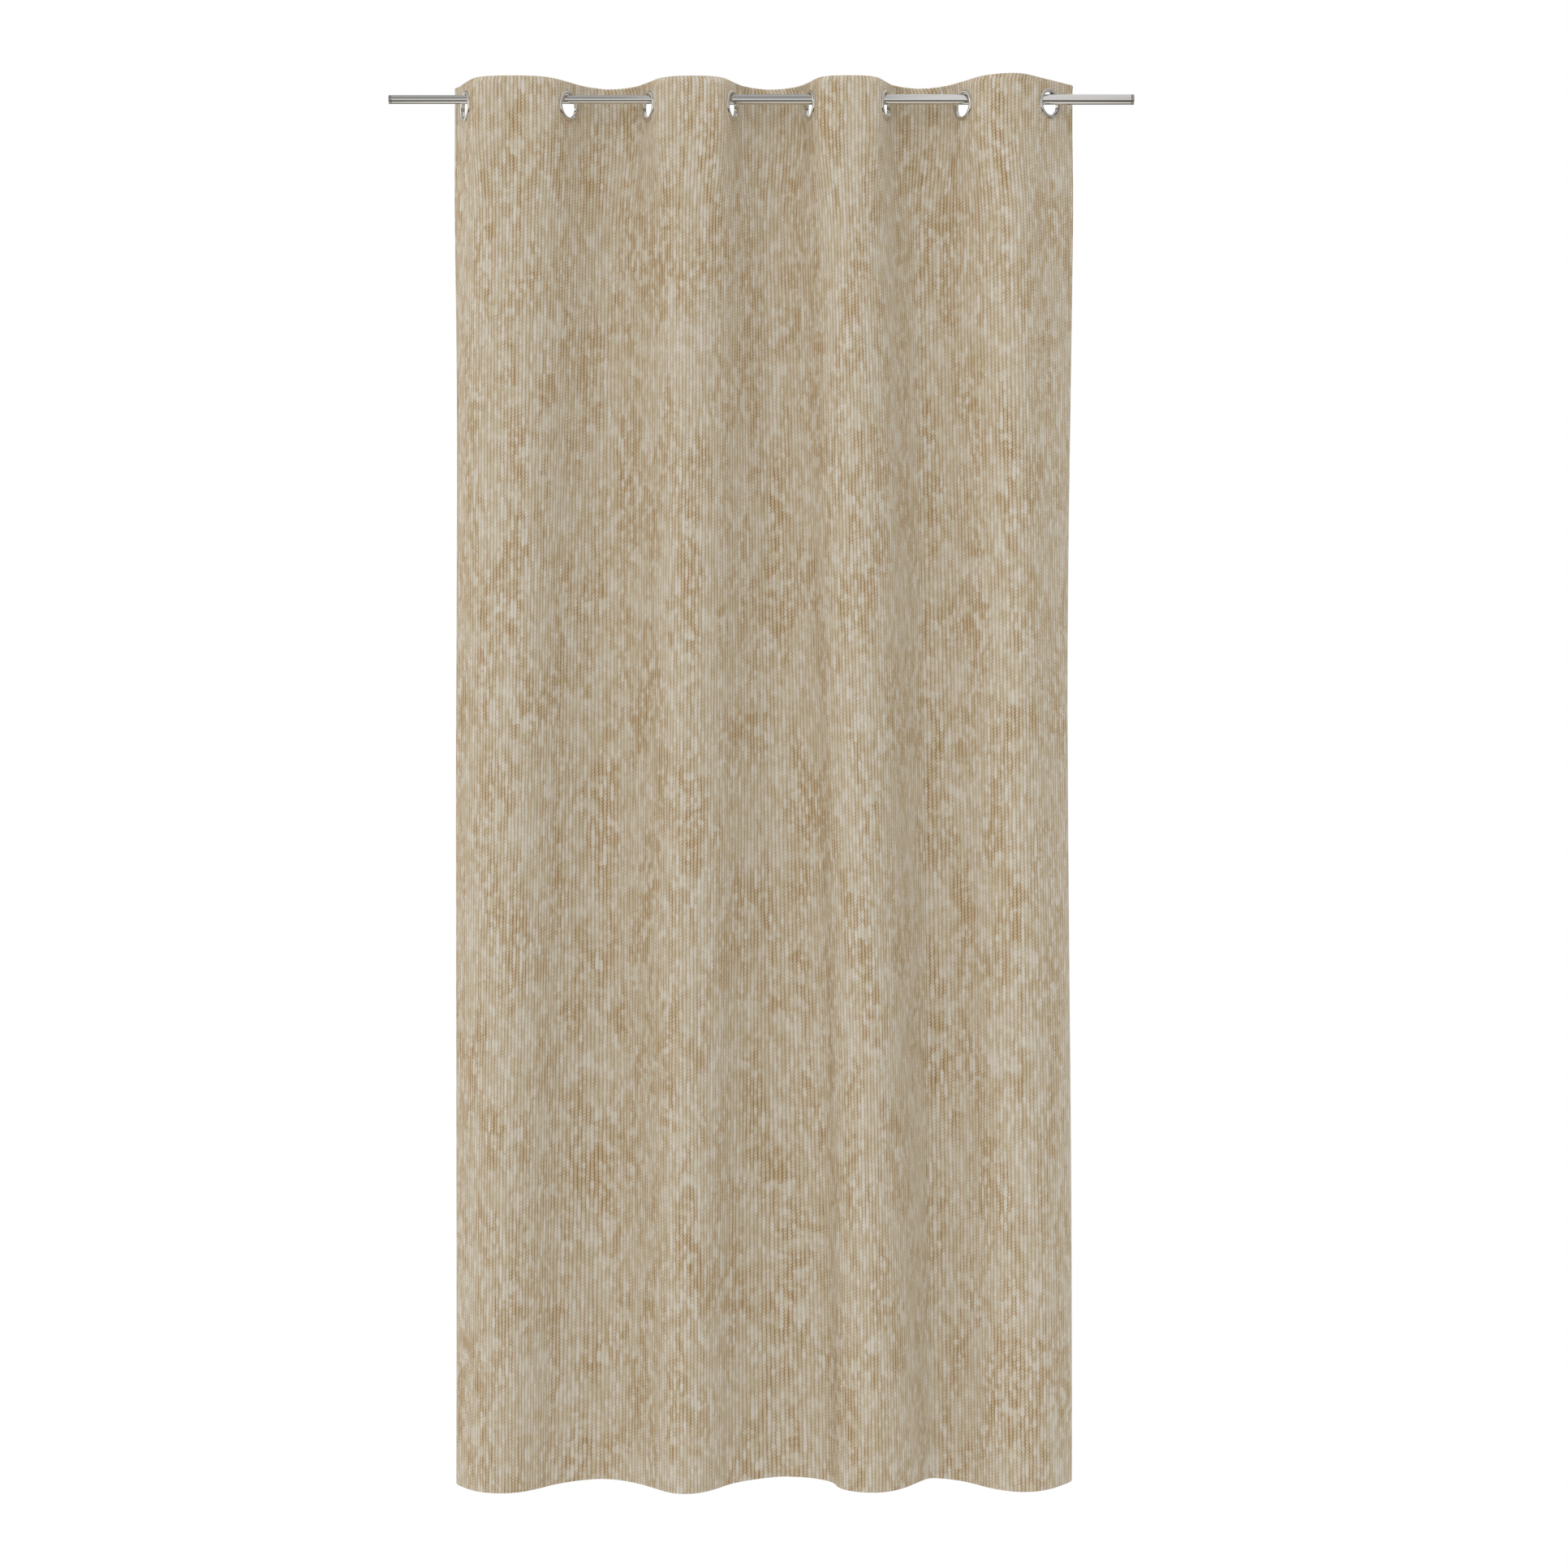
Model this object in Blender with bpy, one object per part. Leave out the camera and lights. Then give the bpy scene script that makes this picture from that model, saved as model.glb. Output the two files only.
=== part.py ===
"""An eyelet curtain hanging in folds on a telescopic rod, drawn half open.

Metres, +Z up. The origin is on the rod's axis, halfway between the rod's ends. +X runs along the
rod to the right of someone looking at the curtain's face, and the face looks towards -Y.

The cloth runs in and out of the rod in soft folds. It is modelled as eight strips, one for each
eyelet, that meet at the crests of the folds. Drawing the curtain turns every strip about its own
eyelet, and neighbouring strips turn opposite ways about the crest line between them.
"""

import math

import bmesh
import bpy
from mathutils import Vector

# Rod: a thin tube that slides in a wide one, with a plug in each outer end.
ROD_LENGTH = 1.380
OUTER_TUBE_D = 0.019
OUTER_TUBE_WALL = 0.0012
INNER_TUBE_WALL = 0.0010
INNER_TUBE_LENGTH = 0.840
OUTER_TUBE_START_X = -0.130
TUBE_FIT = 0.0003
PLUG_FLANGE = 0.005
PLUG_SPIGOT = 0.014
PLUG_EDGE = 0.0006
ROD_SEGMENTS = 32

# Curtain: where the eyelets stand along the rod, how far each has turned from the rod's line, and
# how far the crests of the folds and the cloth between them wander sideways from top to hem.
FIRST_EYELET_X = -0.546
EYELET_PITCHES = (0.188, 0.1505, 0.152, 0.1475, 0.137, 0.146, 0.158)
EYELET_TURNS = (67, 55, 64, 70, 72, 71, 58, 42)
CREST_DRIFT = (-0.025, -0.015, -0.008, 0.018, 0.050, 0.020, 0.030)
MIDDLE_DRIFT = (-0.010, -0.032, -0.008, -0.006, 0.042, 0.044, 0.029, 0.026)
FOLD_DEPTH = 0.052
LEFT_FLAP = 0.050
RIGHT_FLAP = 0.062
CLOTH_HEIGHT = 2.600
CLOTH_THICKNESS = 0.0016
HEADER_HEIGHT = 0.100
TOP_ABOVE_EYELET = 0.044
TAPE_THICKNESS = 0.0008
TAPE_MARGIN = 0.002
GATHER_TURN = 40

# Eyelet: a domed ring with a neck on the face, and a ring that clips on the neck behind.
EYELET_BORE_R = 0.021
EYELET_RIM = 0.007
DOME_HEIGHT = 0.0030
NECK_WALL = 0.0010
CLIP_HEIGHT = 0.0020
EYELET_SEGMENTS = 24

FIT = 0.0003
SEAT_GAP = 0.0004
HOLE_CLEARANCE = 0.0005
CREST_CLEARANCE = 0.0001
HALF_FOLD_STEPS = 6
BEND_START = 0.34
BEND_END = 0.40

# Worked out from the sizes above.
INNER_TUBE_D = OUTER_TUBE_D - 2 * OUTER_TUBE_WALL - 2 * TUBE_FIT
EYELET_RIM_R = EYELET_BORE_R + EYELET_RIM
NECK_R = EYELET_BORE_R + NECK_WALL
STACK = CLOTH_THICKNESS + FIT + TAPE_THICKNESS
NECK_HALF = STACK / 2 + FIT + CLIP_HEIGHT / 2
CLOTH_FACE = NECK_HALF - 2 * FIT
CLOTH_MIDDLE = CLOTH_FACE - CLOTH_THICKNESS / 2
CLIP_FACE = CLOTH_FACE - STACK - FIT
DOME_BASE = CLOTH_FACE + FIT
FACET_SHARE = math.cos(math.pi / EYELET_SEGMENTS)
FLAT_HALF = EYELET_RIM_R + 0.001
LINKS = len(EYELET_TURNS)


def clear_scene():
    for obj in list(bpy.data.objects):
        bpy.data.objects.remove(obj, do_unlink=True)


def make_material(name, colour, roughness, metallic):
    material = bpy.data.materials.new(name)
    material.use_nodes = True
    shader = material.node_tree.nodes["Principled BSDF"]
    shader.inputs["Base Color"].default_value = (*colour, 1)
    shader.inputs["Roughness"].default_value = roughness
    shader.inputs["Metallic"].default_value = metallic
    return material


def add_object(name, mesh, material=None, parent=None, location=(0, 0, 0), turn=(0, 0, 0)):
    obj = bpy.data.objects.new(name, mesh)
    bpy.context.scene.collection.objects.link(obj)
    obj.parent = parent
    obj.location = location
    obj.rotation_euler = turn
    if material and not mesh.materials:
        mesh.materials.append(material)
    return obj


def mesh_from(bm, name, smooth_angle=None):
    bmesh.ops.recalc_face_normals(bm, faces=bm.faces)
    mesh = bpy.data.meshes.new(name)
    bm.to_mesh(mesh)
    bm.free()
    if smooth_angle is not None:
        mesh.shade_smooth()
        mesh.set_sharp_from_angle(angle=math.radians(smooth_angle))
    return mesh


def turned_mesh(name, profile, segments):
    """A closed outline of (radius, height) points spun about +Z."""
    bm = bmesh.new()
    points = [bm.verts.new((radius, 0, height)) for radius, height in profile]
    edges = [bm.edges.new((a, b)) for a, b in zip(points, points[1:] + points[:1])]
    bmesh.ops.spin(
        bm,
        geom=points + edges,
        cent=(0, 0, 0),
        axis=(0, 0, 1),
        angle=2 * math.pi,
        steps=segments,
        use_merge=True,
    )
    bmesh.ops.remove_doubles(bm, verts=bm.verts, dist=1e-6)
    bmesh.ops.dissolve_degenerate(bm, edges=bm.edges, dist=1e-6)
    return mesh_from(bm, name, smooth_angle=35)


# Rod


def add_tube(name, material, start_x, end_x, diameter, wall, parent=None, parent_x=0):
    outer, inner = diameter / 2, diameter / 2 - wall
    length = end_x - start_x
    profile = [(inner, 0), (outer, 0), (outer, length), (inner, length)]
    mesh = turned_mesh(name, profile, ROD_SEGMENTS)
    along_x = (0, math.pi / 2, 0)
    return add_object(name, mesh, material, parent, (start_x - parent_x, 0, 0), along_x)


def add_plug(name, material, end_x, inward, diameter, wall, parent=None, parent_x=0):
    """A flush cap on a tube's end: a flange as wide as the tube, and a spigot in its bore."""
    flange_r = diameter / 2
    spigot_r = flange_r - wall - TUBE_FIT
    profile = [
        (0, 0),
        (flange_r - PLUG_EDGE, 0),
        (flange_r, PLUG_EDGE),
        (flange_r, PLUG_FLANGE),
        (spigot_r, PLUG_FLANGE),
        (spigot_r, PLUG_FLANGE + PLUG_SPIGOT - PLUG_EDGE),
        (spigot_r - PLUG_EDGE, PLUG_FLANGE + PLUG_SPIGOT),
        (0, PLUG_FLANGE + PLUG_SPIGOT),
    ]
    mesh = turned_mesh(name, profile, ROD_SEGMENTS)
    along_x = (0, inward * math.pi / 2, 0)
    return add_object(name, mesh, material, parent, (end_x - parent_x, 0, 0), along_x)


def add_rod(steel, cap):
    left, right = -ROD_LENGTH / 2, ROD_LENGTH / 2
    mouth = PLUG_FLANGE + FIT
    slider = add_object("rod_slider", None, location=(left, 0, 0))
    add_tube(
        "rod_outer_tube", steel, OUTER_TUBE_START_X, right - mouth, OUTER_TUBE_D, OUTER_TUBE_WALL
    )
    add_plug("rod_end_plug_right", cap, right, -1, OUTER_TUBE_D, OUTER_TUBE_WALL)
    inner_end = left + mouth + INNER_TUBE_LENGTH
    add_tube(
        "rod_inner_tube", steel, left + mouth, inner_end, INNER_TUBE_D, INNER_TUBE_WALL, slider, left
    )
    add_plug("rod_end_plug_left", cap, left, 1, INNER_TUBE_D, INNER_TUBE_WALL, slider, left)


# Curtain layout, seen from above


def eyelet_xs():
    xs = [FIRST_EYELET_X]
    for pitch in EYELET_PITCHES:
        xs.append(xs[-1] + pitch)
    return xs


def side_of(link):
    """-1 where the cloth runs forwards from left to right through the eyelet, and +1 where back."""
    return -1 if link % 2 == 0 else 1


def crest(link, at_hem=False):
    """The crest on the right of a link: halfway between its eyelet and the next."""
    xs = eyelet_xs()
    drift = CREST_DRIFT[link] if at_hem else 0
    return Vector(((xs[link] + xs[link + 1]) / 2 + drift, side_of(link) * FOLD_DEPTH))


def middle_of(link, at_hem=False):
    """Where a link crosses the rod's line: at its eyelet, and drifted from there at the hem."""
    drift = MIDDLE_DRIFT[link] if at_hem else 0
    return Vector((eyelet_xs()[link] + drift, 0))


def directions(link):
    """The way the cloth runs through the eyelet, from left to right, and the way its face looks."""
    turn = math.radians(EYELET_TURNS[link]) * side_of(link)
    along = Vector((math.cos(turn), math.sin(turn)))
    return along, Vector((along.y, -along.x))


def bezier(points, share):
    rest = 1 - share
    weights = (rest**3, 3 * rest**2 * share, 3 * rest * share**2, share**3)
    slopes = (-(rest**2), rest**2 - 2 * rest * share, 2 * rest * share - share**2, share**2)
    place = sum((p * w for p, w in zip(points, weights)), Vector((0, 0)))
    slope = sum((p * s for p, s in zip(points, slopes)), Vector((0, 0)))
    return place, slope.normalized()


def half_fold(start, run, end):
    """Places and directions from the flat by the eyelet, on a smooth bend to the crest."""
    reach = (end - start).length
    level = Vector((math.copysign(1, end.x - start.x), 0))
    bend = (start, start + run * reach * BEND_START, end - level * reach * BEND_END, end)
    return [bezier(bend, step / HALF_FOLD_STEPS) for step in range(HALF_FOLD_STEPS + 1)]


def fold_line(link, end_gap, at_hem=False):
    """Places and left-to-right directions along the middle of a link's cloth, from above."""
    along, face = directions(link)
    centre = middle_of(link, at_hem) + face * CLOTH_MIDDLE
    if link == 0:
        left = [(centre - along * LEFT_FLAP, along), (centre - along * FLAT_HALF, along)]
    else:
        end = crest(link - 1, at_hem) + Vector((end_gap, 0))
        bend = half_fold(centre - along * FLAT_HALF, -along, end)
        left = [(place, -run) for place, run in reversed(bend)]
    if link == LINKS - 1:
        right = [(centre + along * FLAT_HALF, along), (centre + along * RIGHT_FLAP, along)]
    else:
        end = crest(link, at_hem) - Vector((end_gap, 0))
        right = half_fold(centre + along * FLAT_HALF, along, end)
    return left + right


def layer_outline(line, face_offset, back_offset):
    """The outline of a layer between two distances from the cloth's middle, towards its face."""
    face = [place + Vector((run.y, -run.x)) * face_offset for place, run in line]
    back = [place + Vector((run.y, -run.x)) * back_offset for place, run in line]
    return face + back[::-1]


def dome(start_r, end_r, base, height, steps):
    """Points over a half ellipse from one radius to another."""
    middle, half = (start_r + end_r) / 2, (start_r - end_r) / 2
    angles = [math.pi * step / steps for step in range(steps + 1)]
    return [(middle + half * math.cos(a), base + height * math.sin(a)) for a in angles]


def eyelet_dome():
    return dome(EYELET_BORE_R, EYELET_RIM_R, DOME_BASE, DOME_HEIGHT, 6)


def settle(link):
    """How far the eyelet's centre hangs below the rod's axis, at any turn that gathering gives."""
    on_inner = eyelet_xs()[link] < OUTER_TUBE_START_X
    reach = (INNER_TUBE_D if on_inner else OUTER_TUBE_D) / 2 + SEAT_GAP
    hang = EYELET_BORE_R * FACET_SHARE - reach
    for turn in range(EYELET_TURNS[link], EYELET_TURNS[link] + GATHER_TURN + 1):
        while hang > 0 and eyelet_to_axis(math.radians(turn), hang) < reach:
            hang -= 0.0001
    return hang


def eyelet_to_axis(turn, hang):
    """The least distance from the eyelet's neck and dome to the rod's axis."""
    rims = [(EYELET_BORE_R, NECK_HALF)] + eyelet_dome()[1:3]
    upper_half = [math.radians(degrees) for degrees in range(0, 181, 2)]
    return min(
        math.hypot(
            radius * FACET_SHARE * math.cos(c) * math.sin(turn) + depth * abs(math.cos(turn)),
            radius * FACET_SHARE * math.sin(c) - hang,
        )
        for radius, depth in rims
        for c in upper_half
    )


# Curtain solids


def slab_mesh(name, low_outline, low_z, high_outline, high_z):
    """A closed solid between two outlines that have the same number of points."""
    bm = bmesh.new()
    low = [bm.verts.new((p.x, p.y, low_z)) for p in low_outline]
    high = [bm.verts.new((p.x, p.y, high_z)) for p in high_outline]
    bm.faces.new(low)
    bm.faces.new(high)
    for n in range(len(low)):
        m = (n + 1) % len(low)
        bm.faces.new((low[n], low[m], high[m], high[n]))
    return mesh_from(bm, name)


def add_hole(obj, cutter):
    hole = obj.modifiers.new("eyelet_hole", "BOOLEAN")
    hole.operation = "DIFFERENCE"
    hole.solver = "EXACT"
    hole.object = cutter


def eyelet_face_mesh():
    neck = [(NECK_R, DOME_BASE), (NECK_R, -NECK_HALF), (EYELET_BORE_R, -NECK_HALF)]
    return turned_mesh("eyelet_face", eyelet_dome() + neck, EYELET_SEGMENTS)


def eyelet_clip_mesh():
    profile = dome(NECK_R + FIT, EYELET_RIM_R, CLIP_FACE, -CLIP_HEIGHT, 4)
    return turned_mesh("eyelet_clip", profile, EYELET_SEGMENTS)


def hole_cutter_mesh():
    bm = bmesh.new()
    bmesh.ops.create_cone(
        bm,
        cap_ends=True,
        segments=EYELET_SEGMENTS,
        radius1=NECK_R + HOLE_CLEARANCE,
        radius2=NECK_R + HOLE_CLEARANCE,
        depth=4 * NECK_HALF,
    )
    return mesh_from(bm, "eyelet_hole_cutter")


def add_link(link, pivot_xy, pivot, meshes, materials):
    number = link + 1
    eyelet_z = -settle(link)
    top = eyelet_z + TOP_ABOVE_EYELET
    seam = top - HEADER_HEIGHT
    hem = top - CLOTH_HEIGHT
    local = -Vector(pivot_xy)

    half = CLOTH_THICKNESS / 2
    bend_room = math.tan(math.radians(GATHER_TURN))
    cloth_gap = half * bend_room + CREST_CLEARANCE
    tape_back = half + FIT + TAPE_THICKNESS
    tape_gap = tape_back * bend_room + CREST_CLEARANCE

    at_top = [p + local for p in layer_outline(fold_line(link, cloth_gap), half, -half)]
    at_hem = [p + local for p in layer_outline(fold_line(link, cloth_gap, True), half, -half)]
    tape = layer_outline(fold_line(link, tape_gap), -half - FIT, -tape_back)
    tape = [p + local for p in tape]

    header = add_object(
        f"fabric_header_{number}",
        slab_mesh("fabric_header", at_top, seam + FIT / 2, at_top, top),
        materials["fabric"],
        pivot,
    )
    add_object(
        f"fabric_drop_{number}",
        slab_mesh("fabric_drop", at_hem, hem, at_top, seam - FIT / 2),
        materials["fabric"],
        pivot,
    )
    stiffener = add_object(
        f"header_tape_{number}",
        slab_mesh("header_tape", tape, seam + TAPE_MARGIN, tape, top - TAPE_MARGIN),
        materials["tape"],
        pivot,
    )

    centre = middle_of(link) + local
    seat = (centre.x, centre.y, eyelet_z)
    facing = (math.pi / 2, 0, math.radians(EYELET_TURNS[link]) * side_of(link))
    cutter = add_object(f"eyelet_hole_{number}", meshes["cutter"], None, pivot, seat, facing)
    cutter.hide_render = True
    cutter.display_type = "WIRE"
    add_hole(header, cutter)
    add_hole(stiffener, cutter)
    nickel = materials["nickel"]
    add_object(f"eyelet_face_ring_{number}", meshes["face"], nickel, pivot, seat, facing)
    add_object(f"eyelet_clip_ring_{number}", meshes["clip"], nickel, pivot, seat, facing)


def add_curtain(materials):
    meshes = {
        "face": eyelet_face_mesh(),
        "clip": eyelet_clip_mesh(),
        "cutter": hole_cutter_mesh(),
    }
    parent, parent_xy = None, Vector((0, 0))
    for link in range(LINKS):
        pivot_xy = middle_of(0) if link == 0 else crest(link - 1)
        step = pivot_xy - parent_xy
        pivot = add_object(f"fold_pivot_{link + 1}", None, None, parent, (step.x, step.y, 0))
        add_link(link, pivot_xy, pivot, meshes, materials)
        parent, parent_xy = pivot, pivot_xy


def main():
    clear_scene()
    steel = make_material("satin_stainless_steel", (0.56, 0.55, 0.53), 0.28, 1)
    cap = make_material("plated_end_plug", (0.50, 0.49, 0.47), 0.35, 1)
    materials = {
        "fabric": make_material("beige_chenille", (0.47, 0.39, 0.27), 0.95, 0),
        "tape": make_material("white_header_tape", (0.80, 0.79, 0.75), 0.9, 0),
        "nickel": make_material("polished_nickel", (0.66, 0.64, 0.61), 0.12, 1),
    }
    add_rod(steel, cap)
    add_curtain(materials)


main()
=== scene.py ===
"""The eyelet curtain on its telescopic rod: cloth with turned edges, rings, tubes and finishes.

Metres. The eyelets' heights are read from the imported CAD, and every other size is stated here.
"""

import math

import bmesh
import bpy
import numpy as np
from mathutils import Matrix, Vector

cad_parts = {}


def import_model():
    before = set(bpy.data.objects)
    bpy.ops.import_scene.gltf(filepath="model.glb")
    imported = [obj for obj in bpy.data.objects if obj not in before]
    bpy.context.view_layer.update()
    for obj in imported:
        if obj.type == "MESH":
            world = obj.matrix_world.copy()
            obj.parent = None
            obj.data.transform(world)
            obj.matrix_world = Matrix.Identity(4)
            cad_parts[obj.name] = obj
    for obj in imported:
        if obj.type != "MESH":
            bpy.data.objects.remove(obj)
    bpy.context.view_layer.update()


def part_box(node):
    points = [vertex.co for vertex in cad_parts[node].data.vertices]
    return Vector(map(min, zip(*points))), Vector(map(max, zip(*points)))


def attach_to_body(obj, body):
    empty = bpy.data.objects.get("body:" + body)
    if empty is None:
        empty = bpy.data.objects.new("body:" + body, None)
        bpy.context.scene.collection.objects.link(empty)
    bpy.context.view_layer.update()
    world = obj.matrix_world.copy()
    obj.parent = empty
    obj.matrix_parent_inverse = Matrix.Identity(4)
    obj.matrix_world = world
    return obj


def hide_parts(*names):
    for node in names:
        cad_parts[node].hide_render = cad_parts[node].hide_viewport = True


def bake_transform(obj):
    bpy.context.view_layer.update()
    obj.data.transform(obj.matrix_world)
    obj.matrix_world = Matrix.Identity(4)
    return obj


# Rod.
ROD_LENGTH = 1.380
OUTER_TUBE_D = 0.019
OUTER_TUBE_WALL = 0.0012
INNER_TUBE_D = 0.016
INNER_TUBE_WALL = 0.0010
INNER_TUBE_LENGTH = 0.840
OUTER_TUBE_START_X = -0.130
PLUG_FLANGE = 0.005
PLUG_SPIGOT = 0.014
PLUG_MOUTH = 0.0053
TUBE_FIT = 0.0003
TUBE_EDGE = 0.0002
PLUG_EDGE = 0.0006
ROD_SEGMENTS = 96

# Eyelets, one for each fold, from left to right.
EYELETS = 8
EYELET_XS = (-0.546, -0.358, -0.2075, -0.0555, 0.092, 0.229, 0.375, 0.533)
BORE_R = 0.021
RIM_R = 0.028
DOME_HEIGHT = 0.003
FACE_RING_WALL = 0.0009
NECK_HALF = 0.00265
DOME_BASE = 0.00235
CLIP_R = 0.0223
CLIP_FACE = -0.00095
CLIP_HEIGHT = 0.002
CLIP_WALL = 0.0006
HOLE_R = 0.0225
RING_SEGMENTS = 128
RING_SIDE_SEGMENTS = 32

# Cloth.
CLOTH_HEIGHT = 2.600
CLOTH_THICKNESS = 0.0016
CLOTH_MIDDLE = 0.00125
HEADER_HEIGHT = 0.100
TOP_ABOVE_EYELET = 0.044
LAYER = 0.0019
SIDE_HEM = 0.020
BOTTOM_HEM = 0.078
TOP_TURN = 0.012
TOP_TURN_R = 0.0015
LEFT_FLAP = 0.049
RIGHT_FLAP = 0.063
TAPE_THICKNESS = 0.0008
TAPE_MIDDLE = -0.0015
TAPE_START = 0.0024
TAPE_END = 0.098
TAPE_SIDE_GAP = 0.004
TAPE_COLUMN = 0.0035
RIB = 0.007
COLUMNS_PER_RIB = 4
BEAD = 0.0058
RIB_RELIEF = 0.0003
CLOTH_UV = "cloth_metres"

# Where the mesh is close together for the rings, where the drop's even rows begin, and the width
# over which the turned edges step down from the side hems.
RING_ROWS_START = 0.014
RING_ROWS_END = 0.074
EVEN_ROWS_START = 0.26
HEM_STEP = 0.006
HOLE_TOLERANCE = 1e-7
SAME_PLACE = 1e-6

# What a row of the cloth belongs to.
MAIN_LAYER, TOP_LAYER, HEM_LAYER = 0, 1, 2

# Stitches: their size, and how far each row of them is from the edge that it holds.
STITCH_LENGTH = 0.0032
STITCH_STEP = 0.0042
STITCH_R = 0.00032
TAPE_SEAM_UP = 0.0045
TOP_SEAM_IN = 0.0015
HEM_SEAM_IN = 0.003
SIDE_SEAM_IN = 0.003
SIDE_SEAM_START = 0.016
SIDE_SEAM_GAP = 0.004
STITCH_SIDES = 6
STITCH_RINGS = 5
STITCH_SUNK = 0.35
STITCH_WIDENED = 1.3

# The folds seen from above, at three heights. Turns are degrees from the rod's line; crests are
# (x, y) where one fold meets the next, in front of the rod (-) and behind it (+) in turn.
RING_TURNS = (67, 55, 64, 70, 72, 71, 58, 42)
RING_CRESTS = (
    (-0.452, -0.048),
    (-0.283, 0.048),
    (-0.1315, -0.046),
    (0.0183, 0.052),
    (0.1605, -0.046),
    (0.302, 0.048),
    (0.454, -0.050),
)
TOP_TURNS = (55, 45, 41, 51, 51, 55, 42, 38)
TOP_CRESTS = (
    (-0.451, -0.045),
    (-0.290, 0.051),
    (-0.136, -0.040),
    (0.008, 0.060),
    (0.161, -0.040),
    (0.288, 0.051),
    (0.462, -0.053),
)
HEM_MIDDLES = (-0.558, -0.395, -0.213, -0.063, 0.139, 0.276, 0.406, 0.565)
HEM_TURNS = (50, 48, 49, 52, 80, 55, 52, 50)
HEM_CRESTS = (
    (-0.473, -0.050),
    (-0.298, 0.050),
    (-0.142, -0.055),
    (0.040, 0.060),
    (0.206, -0.050),
    (0.320, 0.050),
    (0.487, -0.051),
)
# How softly the cloth turns over a crest: in front, and behind on its left and its right.
FRONT_ROUNDNESS = 0.35
BACK_LEFT_ROUNDNESS = 0.16
BACK_RIGHT_ROUNDNESS = 0.32
STRAIGHT_HANDLE = 0.36
# How far each side of an eyelet the cloth is straight, and how far the left and the right flap
# have curled at their free edges, in degrees.
RING_STRAIGHT, RING_CURLS = 0.029, (60, 0)
TOP_STRAIGHT, TOP_CURLS = 0.006, (-4, 0)
HEM_STRAIGHT, HEM_CURLS = 0.0, (-110, 120)
CURVE_POINTS = 240
SPAN_POINTS = 400
FLAP_POINTS = 120
# The cloth keeps the eyelets' plan this far above and below them, then eases out of it.
RING_HOLD = 0.030
EASED_ABOVE = 0.060
EASED_BELOW = 0.234
HEM_EARLINESS = 0.35
WAVES_START = 0.12
WAVES_FULL = 0.7

# Edges sharper than these angles, in degrees, stay sharp.
PLAIN_SMOOTH = 35
RING_SMOOTH = 50
CLOTH_SMOOTH = 55
STITCH_SMOOTH = 60

# Studio.
FLOOR_PLACE = (0, 0, -3.0)
FLOOR_SIZE = (3.6, 1.4, 0.06)
LIGHT_AIM = (0, 0, -1.2)
CAMERA_PLACE = (0.042, -4.79, -1.268)
CAMERA_LENS = 59.36
LOW_STRIP_UP = -0.64
HIGH_STRIP_UP = 0.59
AMBIENT = 1.11


def rgb(code):
    """A linear colour from a #rrggbb code."""
    values = [int(code[n : n + 2], 16) / 255 for n in (1, 3, 5)]
    return [v / 12.92 if v <= 0.04045 else ((v + 0.055) / 1.055) ** 2.4 for v in values]


def smoothstep(start, end, values):
    t = np.clip((values - start) / (end - start), 0, 1)
    return t * t * (3 - 2 * t)


# Materials


def add_node(tree, kind, settings=None, inputs=None):
    """A node with its settings; inputs are values, or sockets to link from."""
    node = tree.nodes.new(kind)
    for name, value in (settings or {}).items():
        setattr(node, name, value)
    for name, value in (inputs or {}).items():
        socket = node.inputs[name]
        if isinstance(value, bpy.types.NodeSocket):
            tree.links.new(value, socket)
        elif isinstance(value, (list, tuple)) and len(value) == 3 and socket.type == "RGBA":
            socket.default_value = (*value, 1)
        else:
            socket.default_value = value
    return node


def calc(tree, operation, *values):
    inputs = dict(enumerate(values))
    return add_node(tree, "ShaderNodeMath", {"operation": operation}, inputs).outputs[0]


def times(tree, value, factor):
    return calc(tree, "MULTIPLY", value, factor)


def scaled(tree, value, factor, added):
    return calc(tree, "MULTIPLY_ADD", value, factor, added)


def over(tree, value, size):
    return calc(tree, "DIVIDE", value, size)


def ramp(tree, value, low, high, to_low=0.0, to_high=1.0):
    """A smooth step of a value between two limits."""
    inputs = {0: value, 1: low, 2: high, 3: to_low, 4: to_high}
    settings = {"interpolation_type": "SMOOTHSTEP"}
    return add_node(tree, "ShaderNodeMapRange", settings, inputs).outputs[0]


def mix(tree, factor, first, second):
    inputs = {0: factor, 6: first, 7: second}
    return add_node(tree, "ShaderNodeMix", {"data_type": "RGBA"}, inputs).outputs[2]


def combine(tree, x, y, z=0.0):
    return add_node(tree, "ShaderNodeCombineXYZ", {}, {0: x, 1: y, 2: z}).outputs[0]


def bumped(tree, height, strength, distance):
    inputs = {"Strength": strength, "Distance": distance, "Height": height}
    return add_node(tree, "ShaderNodeBump", {}, inputs).outputs[0]


def noise(tree, place, scale, detail=2.0, roughness=0.5):
    inputs = {"Vector": place, "Scale": scale, "Detail": detail, "Roughness": roughness}
    return add_node(tree, "ShaderNodeTexNoise", {}, inputs).outputs[0]


def new_material(name):
    material = bpy.data.materials.new(name)
    material.use_nodes = True
    tree = material.node_tree
    return material, tree, tree.nodes["Principled BSDF"]


def link_inputs(tree, shader, **inputs):
    for name, value in inputs.items():
        socket = shader.inputs[name.replace("_", " ")]
        if isinstance(value, bpy.types.NodeSocket):
            tree.links.new(value, socket)
        elif isinstance(value, list):
            socket.default_value = (*value, 1)
        else:
            socket.default_value = value


def split(tree, place):
    return add_node(tree, "ShaderNodeSeparateXYZ", {}, {0: place}).outputs


def object_place(tree):
    return add_node(tree, "ShaderNodeTexCoord").outputs["Object"]


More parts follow.
